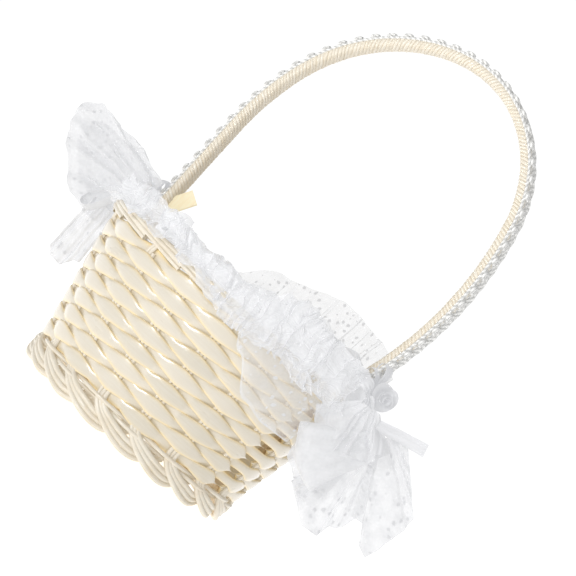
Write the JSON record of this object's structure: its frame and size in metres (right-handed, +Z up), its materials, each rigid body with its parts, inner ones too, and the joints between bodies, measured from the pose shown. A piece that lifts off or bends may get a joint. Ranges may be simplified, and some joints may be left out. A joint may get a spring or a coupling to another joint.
{
  "type": "flower girl basket",
  "caption": "Round woven splint basket with a fixed wrapped hoop handle, a dotted tulle ruffle and a ribbon bow with a rose at each handle leg.",
  "frame": {"origin": "centre of the circle that the foot rests on", "axes": "+Z up, hoop handle in the XZ plane, +X towards the leg that the hoop leans to"},
  "size_m": [0.3166, 0.1946, 0.2951],
  "materials": {
    "splint": "glossy ivory lacquer",
    "reed": "satin ivory lacquer",
    "plywood": "bare, lightly sanded",
    "handle_wood": "bare",
    "raw_splint": "matte",
    "gimp_braid": "soft sheen",
    "binding_wire": "satin",
    "dotted_tulle": "sheer with flocked dots",
    "satin": "satin sheen"
  },
  "bodies": {
    "root": {"weaver_row_01": "splint", "weaver_row_02": "splint", "weaver_row_03": "splint", "weaver_row_04": "splint", "weaver_row_05": "splint", "weaver_row_06": "splint", "weaver_row_07": "splint", "weaver_row_08": "splint", "weaver_row_09": "splint", "weaver_row_10": "splint", "weaver_row_11": "splint", "weaver_row_12": "splint", "weaver_row_13": "splint", "weaver_row_14": "splint", "stake_01": "reed", "stake_02": "reed", "stake_03": "reed", "stake_04": "reed", "stake_05": "reed", "stake_06": "reed", "stake_07": "reed", "stake_08": "reed", "stake_09": "reed", "stake_10": "reed", "stake_11": "reed", "stake_12": "reed", "stake_13": "reed", "stake_14": "reed", "stake_15": "reed", "stake_16": "reed", "stake_17": "reed", "stake_18": "reed", "waling_rod_lower": "reed", "waling_rod_upper": "reed", "base_board": "plywood", "handle_core": "handle_wood", "handle_wrap": "splint", "wrap_tail": "raw_splint", "handle_trim": "gimp_braid", "handle_tie_right": "binding_wire", "handle_tie_left": "binding_wire", "ruffle_front": "dotted_tulle", "ruffle_back": "dotted_tulle", "tulle_loops_right": "dotted_tulle", "tulle_loops_left": "dotted_tulle", "tulle_tails_right": "dotted_tulle", "tulle_tails_left": "dotted_tulle", "satin_bow_right": "satin", "satin_bow_left": "satin", "satin_tails_right": "satin", "satin_tails_left": "satin", "ribbon_rose_right": "satin", "ribbon_rose_left": "satin"}
  },
  "joints": []
}
